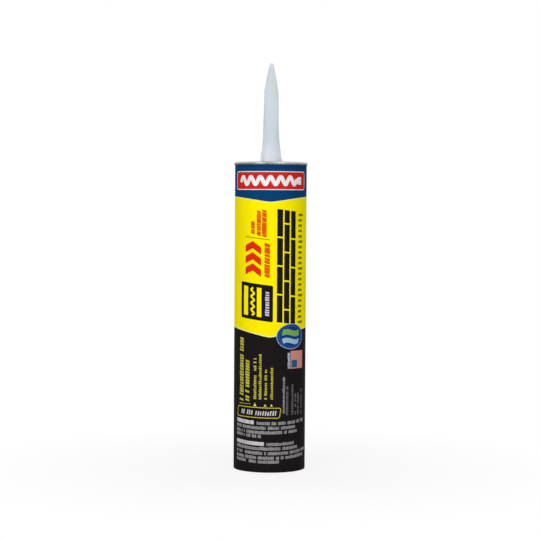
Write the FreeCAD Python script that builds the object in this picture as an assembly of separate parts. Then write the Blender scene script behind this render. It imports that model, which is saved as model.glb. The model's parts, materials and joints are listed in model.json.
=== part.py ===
"""Construction adhesive cartridge: a board tube with a wrapped label, a crimped steel end,
a moulded nozzle, the adhesive charge and the plunger that drives it out.

Millimetres. The origin is the centre of the open end, which the cartridge stands on. +Z runs
up the axis to the nozzle's tip, and the front of the label faces -Y.
"""
import FreeCAD, Part
import math
import os

V = FreeCAD.Vector

# ------------------------------------------------------------------ driving dimensions
# Board tube
tube_length = 212.1
board_wall = 1.25
board_edge_ease = 0.15         # the knife leaves the cut edges slightly eased
crimp_bite = 0.3               # how far the crimped rim presses the board in
crimp_slope = 0.6              # height over which the board narrows to that

# Label wrapped round the tube
label_diameter = 49.8          # over the label: what the cradle of a gun holds
label_thickness = 0.15
glue_line = 0.02               # between the board and the label
label_foot = 0.3               # bare board below the label
label_head = 0.2               # bare board between the label and the crimped rim
lap_groove_width = 0.35        # the step beside the label's lap seam, down the back
lap_groove_depth = 0.08

# Colour fields of the label, in heights from the base and in arc lengths from the front
base_field_height = 92.5       # lowest point of the black field's upper edge
base_field_slope = 0.245       # rise of that edge for each millimetre across
header_drop = 27.2             # from the tube's top edge to the lowest point of the blue header
header_slope = 0.16
plaque_width = 59.2
plaque_height = 12.8
plaque_drop = 12.3             # from the tube's top edge to the plaque's middle
plaque_corner = 2.2
mark_lean = 0.12               # fall of the marks for each millimetre to the right
boards_left = 4.6
boards_width = 14.4
boards_foot = 11.2             # from the base field's lowest edge point to the first board
boards_head = 3.2              # least gap below the header
board_strips = 3
board_length = 18.6
board_joint = 1.0              # yellow left between the boards
panel_left = -22.6
panel_width = 24.6
panel_foot = 10.8              # from the base field's lowest edge point to the dark panel
panel_height = 24.9
panel_corner = 1.0
chevron_left = -18.7
chevron_width = 12.3
chevron_foot = 40.7            # from the base field's lowest edge point to the first chevron
chevron_count = 3
chevron_pitch = 7.6
chevron_height = 5.0
chevron_rise = 3.6
badge_centre = 15.8
badge_width = 22.8
badge_height = 17.8
badge_lift = 0.7               # badge centre above the base field's lowest edge point
red_panel_left = 15.2
red_panel_width = 12.6
red_panel_height = 12.2
red_panel_drop = 21.5          # from the base field's lowest edge point to the red panel

# Steel end, one pressed sheet crimped over the tube's rim
sheet_thickness = 0.3
rim_height = 2.2               # outer leg of the crimp, from the top of the rim
seam_clearance = 0.15          # between the label and the outer leg
plug_clearance = 0.05          # between the bore and the inner leg
countersink_depth = 6.2        # from the top of the rim to the panel
panel_bend = 1.2               # middle-line bend at the foot of the countersink
sheet_bend = 0.7               # middle-line bend of the panel's steps
step_inset = 4.2               # from the inner leg to the panel's raised middle
step_run = 1.0
step_rise = 1.1
bead_inset = 3.5               # from the step to the crest of the stiffening bead
bead_half_width = 1.5
bead_crest = 0.5
bead_rise = 0.7
collar_height = 1.7            # upturned collar round the nozzle's neck

# Sealing compound in the crimp, above and outside the board
compound_clearance = 0.02
compound_hem = 0.5             # from the rim's foot up to the compound

# Nozzle, one moulding with a closed tip
nozzle_length = 72.0           # from the shoulder on the collar to the tip
neck_radius = 8.15
neck_clearance = 0.05          # in the collar
shoulder_radius = 8.6
shoulder_gap = 0.05            # between the collar's edge and the shoulder
flange_radius = 12.4           # holds the nozzle under the panel
flange_thickness = 1.2
flare_length = 21.8            # from the shoulder to the top of the flare
flare_mid_radius = 6.6
flare_top_radius = 5.55
taper_length = 30.0            # gently tapered run above the flare
taper_top_radius = 4.9
tip_mid_length = 11.6          # from the taper to the middle of the pointed end
tip_mid_radius = 2.9
tip_radius = 1.3               # of the rounded tip
tip_angle = 11.0               # slope of the pointed end where it meets the rounded tip
nozzle_wall = 1.35
tip_plug = 5.0                 # solid plastic at the tip, cut off before use

# Foil seal under the nozzle
foil_radius = 9.6
foil_thickness = 0.1

# Adhesive charge: 295 ml in the bore
charge_length = 170.8
charge_gap = 0.1               # below the foil and the panel
charge_side_gap = 0.05

# Plunger
plunger_gap = 0.3              # between the charge and the crown
plunger_height = 16.0
lip_clearance = 0.1            # between the wiper lips and the bore
lip_land = 1.2                 # flat of each wiper lip
lip_depth = 0.7                # how far the waist is cut back behind the lips
lip_slope = 1.4
crown_thickness = 1.6
crown_chamfer = 1.3
skirt_wall = 1.3
hub_radius = 8.2
hub_wall = 1.3
hub_height = 7.0
rib_count = 8
rib_width = 1.2
rib_height = 4.5

# ------------------------------------------------------------------ derived sizes
label_radius = label_diameter / 2
tube_radius = label_radius - label_thickness - glue_line
bore_radius = tube_radius - board_wall

outer_leg_radius = label_radius + seam_clearance + sheet_thickness / 2
inner_leg_radius = bore_radius - plug_clearance - sheet_thickness / 2
crown_bend = (outer_leg_radius - inner_leg_radius) / 2
rim_mid_height = tube_length + crown_bend
rim_top = rim_mid_height + sheet_thickness / 2
rim_foot = rim_top - rim_height
label_top = rim_foot - label_head
pressed_radius = tube_radius - crimp_bite
panel_mid_height = rim_top - countersink_depth - sheet_thickness / 2
plateau_mid_height = panel_mid_height + step_rise
plateau_underside = plateau_mid_height - sheet_thickness / 2
step_outer_radius = inner_leg_radius - step_inset
step_inner_radius = step_outer_radius - step_run
bead_radius = step_inner_radius - bead_inset
collar_radius = neck_radius + neck_clearance + sheet_thickness / 2
collar_top = plateau_mid_height + collar_height

shoulder_height = collar_top + shoulder_gap
nozzle_tip = shoulder_height + nozzle_length
flange_underside = plateau_underside - flange_thickness
foil_underside = flange_underside - foil_thickness

panel_underside = panel_mid_height - sheet_thickness / 2
charge_top = min(foil_underside, panel_underside) - charge_gap
charge_foot = charge_top - charge_length
crown_top = charge_foot - plunger_gap
skirt_foot = crown_top - plunger_height
lip_radius = bore_radius - lip_clearance
waist_radius = lip_radius - lip_depth


# ------------------------------------------------------------------ helpers
def on_section(radius, height):
    """A point of a section in the XZ plane."""
    return V(radius, 0, height)


def chain(points):
    """Straight edges through the points, leaving out any of no length."""
    edges = []
    for start, end in zip(points, points[1:]):
        if start.distanceToPoint(end) > 1e-6:
            edges.append(Part.makeLine(start, end))
    return edges


def turned(edges):
    """The solid of revolution of a closed section about the Z axis."""
    section = Part.Face(Part.Wire(Part.__sortEdges__(edges)))
    solid = section.revolve(V(0, 0, 0), V(0, 0, 1), 360)
    solid = Part.makeSolid(solid) if solid.ShapeType != "Solid" else solid
    if solid.Volume < 0:
        solid.reverse()
    return solid


def ring(inner, outer, foot, top):
    """A plain tube between two radii and two heights."""
    corners = [on_section(inner, foot), on_section(outer, foot),
               on_section(outer, top), on_section(inner, top)]
    return turned(chain(corners + corners[:1]))


def sheet_section(path, thickness):
    """The section of a bent sheet that follows a middle line of (radius, height, bend) corners."""
    points = [on_section(radius, height) for radius, height, bend in path]
    sides = {1: [], -1: []}
    last_end = points[0]
    for index in range(1, len(points)):
        corner = points[index]
        along = (corner - last_end).normalize()
        left = V(-along.z, 0, along.x)
        is_last = index == len(points) - 1
        if is_last:
            run_end = corner
        else:
            onward = (points[index + 1] - corner).normalize()
            turn = along.getAngle(onward)
            setback = path[index][2] * math.tan(turn / 2)
            run_end = corner - along * setback
        for side, edges in sides.items():
            offset = left * (side * thickness / 2)
            edges += chain([last_end + offset, run_end + offset])
        if is_last:
            break
        bend_end = corner + onward * setback
        turns_left = along.x * onward.z - along.z * onward.x > 0
        hand = 1 if turns_left else -1
        centre = run_end + left * (hand * path[index][2])
        middle = (corner - centre).normalize()
        onward_left = V(-onward.z, 0, onward.x)
        for side, edges in sides.items():
            start = run_end + left * (side * thickness / 2)
            end = bend_end + onward_left * (side * thickness / 2)
            reach = path[index][2] - hand * side * thickness / 2
            edges.append(Part.Arc(start, centre + middle * reach, end).toShape())
        last_end = bend_end
    end_left = V(-along.z, 0, along.x) * (thickness / 2)
    first = (points[1] - points[0]).normalize()
    first_left = V(-first.z, 0, first.x) * (thickness / 2)
    caps = [Part.makeLine(points[0] - first_left, points[0] + first_left),
            Part.makeLine(points[-1] - end_left, points[-1] + end_left)]
    return sides[1] + sides[-1] + caps


def across(arc_length):
    """How far to the side an arc length from the front of the label lies."""
    return label_radius * math.sin(arc_length / label_radius)


def front_prism(corners):
    """A prism from the axis out past the front of the label, over (across, height) corners."""
    outline = [V(x, 0, z) for x, z in corners]
    face = Part.Face(Part.makePolygon(outline + outline[:1]))
    return face.extrude(V(0, -label_diameter, 0))


def mark_prism(left, width, foot, height, lean=0.0, corner=0.0):
    """A front prism over a box of the label, its width an arc length, that falls to the right."""
    right = left + width
    low, high = foot - lean * left, foot - lean * right
    block = front_prism([(across(left), low), (across(right), high),
                         (across(right), high + height), (across(left), low + height)])
    if not corner:
        return block
    outward = [edge for edge in block.Edges
               if abs(edge.Vertexes[0].Point.y - edge.Vertexes[-1].Point.y) > label_radius]
    return block.makeFillet(corner, outward)


def vee_block(apex_height, slope, top):
    """Everything between an edge that falls to the front and back centre lines and a level."""
    side = label_diameter
    side_height = apex_height + slope * side
    outline = [V(-side, -side, side_height), V(0, -side, apex_height), V(side, -side, side_height),
               V(side, -side, top), V(-side, -side, top)]
    face = Part.Face(Part.makePolygon(outline + outline[:1]))
    return face.extrude(V(0, 2 * side, 0))


def save(shape, node):
    """Write one node, after a look at its solids."""
    if not shape.isValid():
        print("not valid:", node)
    shape.exportStep("parts/%s.step" % node)
    print("%-14s solids %2d  volume %10.2f mm3" % (node, len(shape.Solids), shape.Volume))


# ------------------------------------------------------------------ board tube
def make_tube():
    """The wound board tube, open at the foot and pressed in under the crimped rim."""
    corners = [on_section(bore_radius, 0), on_section(tube_radius, 0),
               on_section(tube_radius, label_top), on_section(pressed_radius, label_top + crimp_slope),
               on_section(pressed_radius, tube_length), on_section(bore_radius, tube_length)]
    tube = turned(chain(corners + corners[:1]))
    cut_edges = [edge for edge in tube.Edges if edge.BoundBox.ZLength < 1e-6
                 and min(abs(edge.BoundBox.ZMin), abs(edge.BoundBox.ZMin - tube_length)) < 1e-6]
    return tube.makeFillet(board_edge_ease, cut_edges)


# ------------------------------------------------------------------ label
def label_wrap():
    """The whole wrapped label with the groove beside its lap seam."""
    wrap = ring(tube_radius + glue_line, label_radius, label_foot, label_top)
    groove = Part.makeBox(lap_groove_width, label_radius, tube_length,
                          V(-lap_groove_width / 2, label_radius - lap_groove_depth, 0))
    return wrap.cut(groove)


def header_apex():
    return tube_length - header_drop


def plaque_prism():
    foot = tube_length - plaque_drop - plaque_height / 2
    return mark_prism(-plaque_width / 2, plaque_width, foot, plaque_height, corner=plaque_corner)


def board_prisms():
    """Strips of laid boards with staggered ends, as many boards as fit below the header."""
    pitch = board_length + board_joint
    strip_width = (boards_width - (board_strips - 1) * board_joint) / board_strips
    first_foot = base_field_height + boards_foot
    room = header_apex() - boards_head - first_foot
    count = int((room + board_joint) // pitch)
    top = first_foot + count * pitch - board_joint
    prisms = []
    for strip in range(board_strips):
        left = boards_left + strip * (strip_width + board_joint)
        shift = pitch / 2 if strip % 2 else 0
        for index in range(count + strip % 2):
            foot = first_foot + index * pitch - shift
            low = max(foot, first_foot)
            high = min(foot + board_length, top)
            prisms.append(mark_prism(left, strip_width, low, high - low, mark_lean))
    return prisms


def panel_prism():
    foot = base_field_height + panel_foot
    return mark_prism(panel_left, panel_width, foot, panel_height, mark_lean, panel_corner)


def chevron_prisms():
    """A column of chevrons that point up the cartridge."""
    prisms = []
    right = chevron_left + chevron_width
    x0, x2 = across(chevron_left), across(right)
    x1 = (x0 + x2) / 2
    for index in range(chevron_count):
        foot = base_field_height + chevron_foot + index * chevron_pitch
        low, high = foot - mark_lean * chevron_left, foot - mark_lean * right
        point = (low + high) / 2 + chevron_rise
        prisms.append(front_prism([(x0, low), (x1, point), (x2, high), (x2, high + chevron_height),
                                   (x1, point + chevron_height), (x0, low + chevron_height)]))
    return prisms


def badge_prism():
    """An oval badge that straddles the black and yellow fields."""
    x0 = across(badge_centre - badge_width / 2)
    x1 = across(badge_centre + badge_width / 2)
    semi_x = (x1 - x0) / 2
    semi_z = badge_height / 2
    centre = V((x0 + x1) / 2, 0, base_field_height + badge_lift)
    wide = semi_x >= semi_z
    oval = Part.Ellipse(centre, max(semi_x, semi_z), min(semi_x, semi_z))
    edge = oval.toShape()
    edge.rotate(centre, V(1, 0, 0), 90)
    if not wide:
        edge.rotate(centre, V(0, 1, 0), 90)
    return Part.Face(Part.Wire([edge])).extrude(V(0, -label_diameter, 0))


def red_panel_prism():
    foot = base_field_height - red_panel_drop
    return mark_prism(red_panel_left, red_panel_width, foot, red_panel_height)


def make_label():
    """The label parted by the colour it is printed in: yellow, black, blue and red."""
    wrap = label_wrap()
    base_limit = vee_block(base_field_height, base_field_slope, 2 * tube_length)
    header_limit = vee_block(header_apex(), header_slope, 2 * tube_length)
    plaque = plaque_prism()
    badge = badge_prism()
    red_panel = red_panel_prism()
    black_marks = board_prisms() + [panel_prism()]
    red_marks = chevron_prisms()

    header = wrap.common(header_limit)
    base = wrap.cut(base_limit)
    field = wrap.common(base_limit).cut(header_limit)
    yellow = field.cut(black_marks + red_marks + [badge])
    black = [base.cut([badge, red_panel])] + [field.common(mark).cut(badge) for mark in black_marks]
    blue = [header.cut(plaque), wrap.common(badge)]
    red = [header.common(plaque), base.common(red_panel).cut(badge)]
    red += [field.common(mark) for mark in red_marks]
    return {"label_yellow": yellow,
            "label_black": Part.makeCompound([s for piece in black for s in piece.Solids]),
            "label_blue": Part.makeCompound([s for piece in blue for s in piece.Solids]),
            "label_red": Part.makeCompound([s for piece in red for s in piece.Solids])}


# ------------------------------------------------------------------ steel end
def make_top_end():
    """The pressed end: crimped rim, countersink, stepped panel, bead and collar."""
    path = [(outer_leg_radius, rim_foot, 0),
            (outer_leg_radius, rim_mid_height, crown_bend),
            (inner_leg_radius, rim_mid_height, crown_bend),
            (inner_leg_radius, panel_mid_height, panel_bend),
            (step_outer_radius, panel_mid_height, sheet_bend),
            (step_inner_radius, plateau_mid_height, sheet_bend),
            (bead_radius + bead_half_width, plateau_mid_height, sheet_bend),
            (bead_radius + bead_crest, plateau_mid_height + bead_rise, sheet_bend),
            (bead_radius - bead_crest, plateau_mid_height + bead_rise, sheet_bend),
            (bead_radius - bead_half_width, plateau_mid_height, sheet_bend),
            (collar_radius, plateau_mid_height, sheet_bend),
            (collar_radius, collar_top, 0)]
    return turned(sheet_section(path, sheet_thickness))


def make_seam_compound():
    """Sealing compound that fills the crimp above the tube's edge and outside the board."""
    fill = crown_bend - sheet_thickness / 2 - compound_clearance
    middle = (outer_leg_radius + inner_leg_radius) / 2
    start = on_section(middle - fill, tube_length)
    end = on_section(middle + fill, tube_length)
    crest = on_section(middle, tube_length + fill)
    hem = rim_foot + compound_hem
    inside = pressed_radius + compound_clearance
    skirt = chain([end, on_section(end.x, hem), on_section(inside, hem),
                   on_section(inside, tube_length), start])
    return turned([Part.Arc(start, crest, end).toShape()] + skirt)


# ------------------------------------------------------------------ nozzle
def nozzle_curves(inset):
    """The flare, the taper and the pointed end, set in from the outside by a wall."""
    flare_foot = on_section(shoulder_radius - inset, shoulder_height)
    flare_middle = on_section(flare_mid_radius - inset, shoulder_height + flare_length / 2)
    flare_top = on_section(flare_top_radius - inset, shoulder_height + flare_length)
    taper_top = on_section(taper_top_radius - inset, flare_top.z + taper_length)
    taper_way = taper_top - flare_top

    flare = Part.BSplineCurve()
    flare.interpolate(Points=[flare_foot, flare_middle, flare_top],
                      InitialTangent=(flare_middle - flare_foot),
                      FinalTangent=taper_way.normalize() * flare_length / 2)
    taper = Part.makeLine(flare_top, taper_top)
    return flare.toShape(), taper, taper_top, taper_way


def tip_curve(taper_top, taper_way, middle, end):
    """The pointed end: leaves along the taper and closes in at the tip's angle."""
    curve = Part.BSplineCurve()
    reach = (middle - taper_top).Length
    slope = math.radians(tip_angle)
    curve.interpolate(Points=[taper_top, middle, end],
                      InitialTangent=taper_way.normalize() * reach,
                      FinalTangent=V(-math.sin(slope), 0, math.cos(slope)) * reach)
    return curve.toShape()


def dome_point(angle):
    """A point of the rounded tip, at an angle above its widest circle."""
    return on_section(tip_radius * math.cos(math.radians(angle)),
                      nozzle_tip - tip_radius + tip_radius * math.sin(math.radians(angle)))


def make_nozzle():
    """The hollow nozzle, held in the collar by its flange and closed at the tip."""
    flare, taper, taper_top, taper_way = nozzle_curves(0)
    tip_middle = on_section(tip_mid_radius, taper_top.z + tip_mid_length)
    tip_end = dome_point(tip_angle)
    dome = Part.Arc(tip_end, dome_point((tip_angle + 90) / 2), on_section(0, nozzle_tip))
    outer = [flare, taper, tip_curve(taper_top, taper_way, tip_middle, tip_end), dome.toShape()]
    foot = chain([on_section(0, flange_underside), on_section(flange_radius, flange_underside),
                  on_section(flange_radius, plateau_underside),
                  on_section(neck_radius, plateau_underside),
                  on_section(neck_radius, shoulder_height),
                  on_section(shoulder_radius, shoulder_height)])
    axis = chain([on_section(0, nozzle_tip), on_section(0, flange_underside)])
    body = turned(foot + outer + axis)

    flare, taper, taper_top, taper_way = nozzle_curves(nozzle_wall)
    passage_end = nozzle_tip - tip_plug
    passage_middle = on_section(tip_mid_radius - nozzle_wall, taper_top.z + tip_mid_length)
    passage_top = on_section(tip_radius / 2, passage_end)
    mouth = on_section(shoulder_radius - nozzle_wall, shoulder_height)
    entry = on_section(shoulder_radius - nozzle_wall, flange_underside - flange_thickness)
    inner = [Part.makeLine(entry, mouth), flare, taper,
             tip_curve(taper_top, taper_way, passage_middle, passage_top)]
    inner += chain([passage_top, on_section(0, passage_end), on_section(0, entry.z), entry])
    return body.cut(turned(inner))


def make_foil():
    """The foil bonded across the mouth of the nozzle."""
    return Part.makeCylinder(foil_radius, foil_thickness, V(0, 0, foil_underside))


# ------------------------------------------------------------------ charge and plunger
def make_charge():
    """The adhesive that fills the bore between the plunger and the steel end."""
    return Part.makeCylinder(bore_radius - charge_side_gap, charge_length, V(0, 0, charge_foot))


def make_plunger():
    """The plunger cup: crown, two wiper lips, skirt, hub ring and ribs."""
    inner = waist_radius - skirt_wall
    upper_land = crown_top - crown_chamfer
    outline = [on_section(0, crown_top), on_section(lip_radius - crown_chamfer, crown_top),
               on_section(lip_radius, upper_land), on_section(lip_radius, upper_land - lip_land),
               on_section(waist_radius, upper_land - lip_land - lip_slope),
               on_section(waist_radius, skirt_foot + lip_land + lip_slope),
               on_section(lip_radius, skirt_foot + lip_land), on_section(lip_radius, skirt_foot),
               on_section(inner, skirt_foot), on_section(inner, crown_top - crown_thickness),
               on_section(0, crown_top - crown_thickness)]
    cup = turned(chain(outline + outline[:1]))
    root = crown_top - crown_thickness
    into_crown = crown_thickness / 2
    hub = ring(hub_radius - hub_wall, hub_radius, root - hub_height, root + into_crown)
    pieces = [hub]
    for index in range(rib_count):
        rib = Part.makeBox(inner + skirt_wall / 2 - hub_radius + hub_wall / 2, rib_width,
                           rib_height + into_crown,
                           V(hub_radius - hub_wall / 2, -rib_width / 2, root - rib_height))
        rib.rotate(V(0, 0, 0), V(0, 0, 1), index * 360 / rib_count)
        pieces.append(rib)
    return cup.fuse(pieces).removeSplitter()


# ------------------------------------------------------------------ build
os.makedirs("parts", exist_ok=True)
save(make_tube(), "tube")
for node, shape in make_label().items():
    save(shape, node)
save(make_top_end(), "top_end")
save(make_seam_compound(), "seam_compound")
save(make_nozzle(), "nozzle")
save(make_foil(), "nozzle_foil")
charge = make_charge()
save(charge, "adhesive")
save(make_plunger(), "plunger")

print("rim top %.2f, nozzle tip %.2f" % (rim_top, nozzle_tip))
print("plunger from %.2f to %.2f, ribs from %.2f" % (skirt_foot, crown_top,
                                                     crown_top - crown_thickness - hub_height))
print("charge %.1f ml, from %.2f to %.2f" % (charge.Volume / 1000, charge_foot, charge_top))
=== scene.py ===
# %% [markdown]
# # A cartridge of construction adhesive
#
# The object is a board tube with a printed label wrapped round it, a pressed steel end crimped
# over its rim, a moulded nozzle, and inside, out of sight, the adhesive and the plunger.
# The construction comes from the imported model; this lesson adds the looks.
# Everything is in metres, stands on z = 0, and the label's front faces -Y.

import json
import math

import bpy
import numpy as np
from mathutils import Matrix, Vector
from mathutils.geometry import delaunay_2d_cdt


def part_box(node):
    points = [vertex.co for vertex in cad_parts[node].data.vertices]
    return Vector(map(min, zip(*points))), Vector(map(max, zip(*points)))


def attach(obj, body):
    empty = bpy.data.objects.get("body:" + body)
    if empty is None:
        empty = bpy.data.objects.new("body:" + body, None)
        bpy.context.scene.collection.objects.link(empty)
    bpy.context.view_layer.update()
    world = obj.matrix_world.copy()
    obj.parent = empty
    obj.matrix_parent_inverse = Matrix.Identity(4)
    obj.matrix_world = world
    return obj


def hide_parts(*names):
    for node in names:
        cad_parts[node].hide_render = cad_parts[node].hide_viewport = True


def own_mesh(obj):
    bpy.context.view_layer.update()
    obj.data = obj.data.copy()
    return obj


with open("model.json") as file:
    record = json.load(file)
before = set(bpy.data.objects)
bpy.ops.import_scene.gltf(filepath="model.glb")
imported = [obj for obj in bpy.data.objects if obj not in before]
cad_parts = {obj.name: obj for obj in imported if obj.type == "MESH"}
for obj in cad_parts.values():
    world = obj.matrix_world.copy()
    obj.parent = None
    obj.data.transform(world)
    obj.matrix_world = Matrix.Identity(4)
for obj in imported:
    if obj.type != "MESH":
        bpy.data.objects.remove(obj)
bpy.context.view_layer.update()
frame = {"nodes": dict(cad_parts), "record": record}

MM = 0.001
print("nodes:", ", ".join(sorted(frame["nodes"])))

# %% [markdown]
# ## The view
#
# A small product is best seen from a little over a metre away with a long lens, so that its
# sides stay nearly parallel. The camera could be tracked to an empty, but a matrix worked out from
# an eye point and an aim point is plainer, and the small roll is one more turn about the lens.

# %% Camera
EYE = Vector((-0.0002, -1.200, 0.185))
AIM = Vector((-0.0002, 0.0, 0.13819))
LENS_MM, SENSOR_MM = 114.95, 36
ROLL_DEG = 0.36
FARTHEST_SEEN = 50


def new_object(name, data):
    """A mesh, a camera or a lamp as an object at the origin."""
    made = bpy.data.objects.new(name, data)
    bpy.context.scene.collection.objects.link(made)
    return made


def facing(place, aim):
    """The matrix of a camera or a lamp that stands at a place and points at an aim."""
    return Matrix.Translation(place) @ (aim - place).to_track_quat("-Z", "Y").to_matrix().to_4x4()


camera_data = bpy.data.cameras.new("view")
camera_data.lens = LENS_MM
camera_data.sensor_width = SENSOR_MM
camera_data.clip_end = FARTHEST_SEEN
camera = new_object("view", camera_data)
camera.matrix_world = facing(EYE, AIM) @ Matrix.Rotation(math.radians(ROLL_DEG), 4, "Z")
bpy.context.scene.camera = camera
bpy.context.scene.view_settings.view_transform = "Standard"
print("camera %.2f m from the axis, %.0f mm lens" % (-EYE.y, LENS_MM))

# %% [markdown]
# ## Helpers for nodes
#
# Materials, the world and Geometry Nodes are all graphs of nodes. Making each node and each link
# by hand hides what the graph is for, so a short helper makes a node, sets its sockets and joins
# them: a plain value sets a socket, and another node's output is linked to it.

# %% Node helpers
def linear(red, green, blue):
    """A display colour, 0 to 255 a channel, as the scene's linear light."""
    def channel(value):
        share = value / 255
        return share / 12.92 if share <= 0.04045 else ((share + 0.055) / 1.055) ** 2.4
    return (channel(red), channel(green), channel(blue), 1.0)


class Graph:
    """A node tree in the making."""

    def __init__(self, tree):
        self.tree = tree

    def node(self, kind, sockets=None, **settings):
        """One node. Its kind is a shader's, unless the name says whose Node it is."""
        made = self.tree.nodes.new(kind if "Node" in kind else "ShaderNode" + kind)
        for key, value in settings.items():
            setattr(made, key, value)
        for key, value in (sockets or {}).items():
            self.put(made.inputs[key], value)
        return made

    def put(self, socket, value):
        """A link from another node's output, or else a plain value."""
        if isinstance(value, bpy.types.NodeSocket):
            self.tree.links.new(value, socket)
        else:
            socket.default_value = value

    def first(self, kind, sockets=None, **settings):
        """One node's first output."""
        return self.node(kind, sockets, **settings).outputs[0]

    def math(self, operation, *values):
        return self.first("Math", dict(enumerate(values)), operation=operation)

    def between(self, value, low, high, start=0.0, end=1.0, **settings):
        """Goes from low to high while the value goes from start to end."""
        return self.first("MapRange", {"Value": value, "From Min": start, "From Max": end,
                                       "To Min": low, "To Max": high}, **settings)


# %% Material helpers
class Finish(Graph):
    """One material in the making. Its places are the object's own coordinates."""

    def __init__(self, name):
        self.material = bpy.data.materials.new(name)
        self.material.use_nodes = True
        super().__init__(self.material.node_tree)
        self.tree.nodes.clear()

    def place(self, stretch=(1, 1, 1)):
        source = self.node("TexCoord").outputs["Object"]
        return self.first("Mapping", {"Vector": source, "Scale": stretch})

    def round_axis(self):
        """A place's distance from the upright axis, its turn about it and its height."""
        x, y, z = self.node("SeparateXYZ", {0: self.place()}).outputs
        flat = self.first("CombineXYZ", {0: x, 1: y})
        radius = self.node("VectorMath", {0: flat}, operation="LENGTH").outputs["Value"]
        return radius, self.math("ARCTAN2", y, x), z

    def noise(self, scale, detail, stretch=(1, 1, 1)):
        return self.first("TexNoise", {"Vector": self.place(stretch), "Scale": scale, "Detail": detail})

    def ramp(self, factor, stops):
        """A colour ramp over (position, colour) stops."""
        made = self.node("ValToRGB", {"Fac": factor})
        elements = made.color_ramp.elements
        while len(elements) < len(stops):
            elements.new(0.5)
        for element, (position, colour) in zip(elements, stops):
            element.position = position
            element.color = colour
        return made.outputs["Color"]

    def mottle(self, noise, dark, light, start=0.3, end=0.7):
        """A colour that follows a noise from a dark one to a light one."""
        return self.ramp(noise, [(start, linear(*dark)), (end, linear(*light))])

    def mix(self, factor, first, second, blend="MIX"):
        made = self.node("Mix", {"Factor": factor, 6: first, 7: second}, data_type="RGBA",
                         blend_type=blend)
        return made.outputs[2]

    def uneven(self, colour, noise, darkest, lightest):
        """A colour made a little darker and lighter by a noise."""
        tint = self.between(noise, darkest, lightest)
        grey = self.first("CombineColor", {0: tint, 1: tint, 2: tint})
        return self.mix(1.0, colour, grey, "MULTIPLY")

    def bump(self, height, distance, **below):
        """Relief. Normal gives the relief that it lies on, where there is one."""
        return self.first("Bump", {"Height": height, "Distance": distance, **below})

    def surface(self, shader):
        """Ends the material with its surface, and gives it back."""
        self.node("OutputMaterial", {"Surface": shader.outputs[0]})
        return self.material

    def shade(self, creep="RANDOM_WALK", **sockets):
        """The Principled surface. Names use _ where a socket's name has a space."""
        named = {key.replace("_", " "): value for key, value in sockets.items()}
        return self.surface(self.node("BsdfPrincipled", named, subsurface_method=creep))

    def plain(self, scale, detail, dark, light, rough, relief, **more):
        """A finish whose colour, roughness and relief all follow one noise."""
        lumps = self.noise(scale, detail)
        return self.shade(Base_Color=self.mottle(lumps, dark, light), Normal=self.bump(lumps, relief),
                          Roughness=self.between(lumps, *rough), **more)


# %% [markdown]
# ## Floor
#
# The floor is a plain pale sheet. Near the object it takes light and shadow as any paper does, and
# further out it turns into even white for the camera, so that no edge shows. A larger lamp could
# burn it white, but that would bleach the object too, so the white is the floor's own.

# %% Floor
FLOOR_SIZE = 6.0
FLOOR_NEAR, FLOOR_FAR = 0.05, 0.22     # metres from the axis, from paper to plain white
GLOW_NEAR = 0.86
WHITE = (1, 1, 1, 1)


def seen_directly(graph):
    """1 for rays that come from the camera, a mirror or clear plastic, else 0."""
    path = graph.node("LightPath").outputs
    either = graph.math("MAXIMUM", path["Is Camera Ray"], path["Is Glossy Ray"])
    return graph.math("MAXIMUM", either, path["Is Transmission Ray"])


def floor_finish():
    finish = Finish("floor_paper")
    distance, _, _ = finish.round_axis()
    far = finish.between(distance, GLOW_NEAR, 1.0, FLOOR_NEAR, FLOOR_FAR)
    glow = finish.math("MULTIPLY", far, seen_directly(finish))
    grain = finish.mottle(finish.noise(400.0, 3.0), (231, 231, 230), (235, 235, 234))
    paper = finish.first("BsdfDiffuse", {"Color": grain})
    light = finish.first("Emission", {"Color": WHITE})
    return finish.surface(finish.node("MixShader", {0: glow, 1: paper, 2: light}))


def stage_piece(name, corners, faces, material):
    """A piece of the studio, which is not part of the object."""
    mesh = bpy.data.meshes.new(name)
    mesh.from_pydata(corners, [], faces)
    mesh.materials.append(material)
    made = new_object(name, mesh)
    return made


half = FLOOR_SIZE / 2
stage_piece("floor", [(-half, -half, 0), (half, -half, 0), (half, half, 0), (-half, half, 0)],
            [(0, 1, 2, 3)], floor_finish())
print("floor: %.0f m across" % FLOOR_SIZE)

# %% [markdown]
# ## Lamps and world
#
# Two large soft lamps stand in front, the left one stronger, and two more light the back. The world
# adds an even fill. It is white for the camera and for reflections, so that the metal shows the
# same white room, and dimmer where it only lights the object.

# %% Lamps and world
LAMPS = {                  # degrees round, watts
    "left": (-34, 12.7),
    "right": (22, 11.8),
    "back_left": (-148, 8.0),
    "back_right": (148, 8.0),
}
LAMP_DISTANCE, LAMP_HEIGHT, LAMP_SIZE = 1.6, 0.75, 0.9
LAMP_AIM = Vector((0, 0, 0.12))
FILL = 0.15


def around(azimuth, distance, height):
    """A place round the object. Azimuth 0 is in front, and 90 to the right."""
    turn = math.radians(azimuth)
    return Vector((math.sin(turn) * distance, -math.cos(turn) * distance, height))


for name, (azimuth, watts) in LAMPS.items():
    lamp_data = bpy.data.lights.new("lamp_" + name, "AREA")
    lamp_data.energy = watts
    lamp_data.size = LAMP_SIZE
    lamp = new_object("lamp_" + name, lamp_data)
    lamp.matrix_world = facing(around(azimuth, LAMP_DISTANCE, LAMP_HEIGHT), LAMP_AIM)
    lamp.visible_glossy = False

world = bpy.data.worlds.new("studio")
world.use_nodes = True
sky = Graph(world.node_tree)
background = sky.tree.nodes["Background"].inputs
background["Color"].default_value = WHITE
sky.put(background["Strength"], sky.between(seen_directly(sky), FILL, 1.0))
bpy.context.scene.world = world
print("lamps:", LAMPS)

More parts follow.
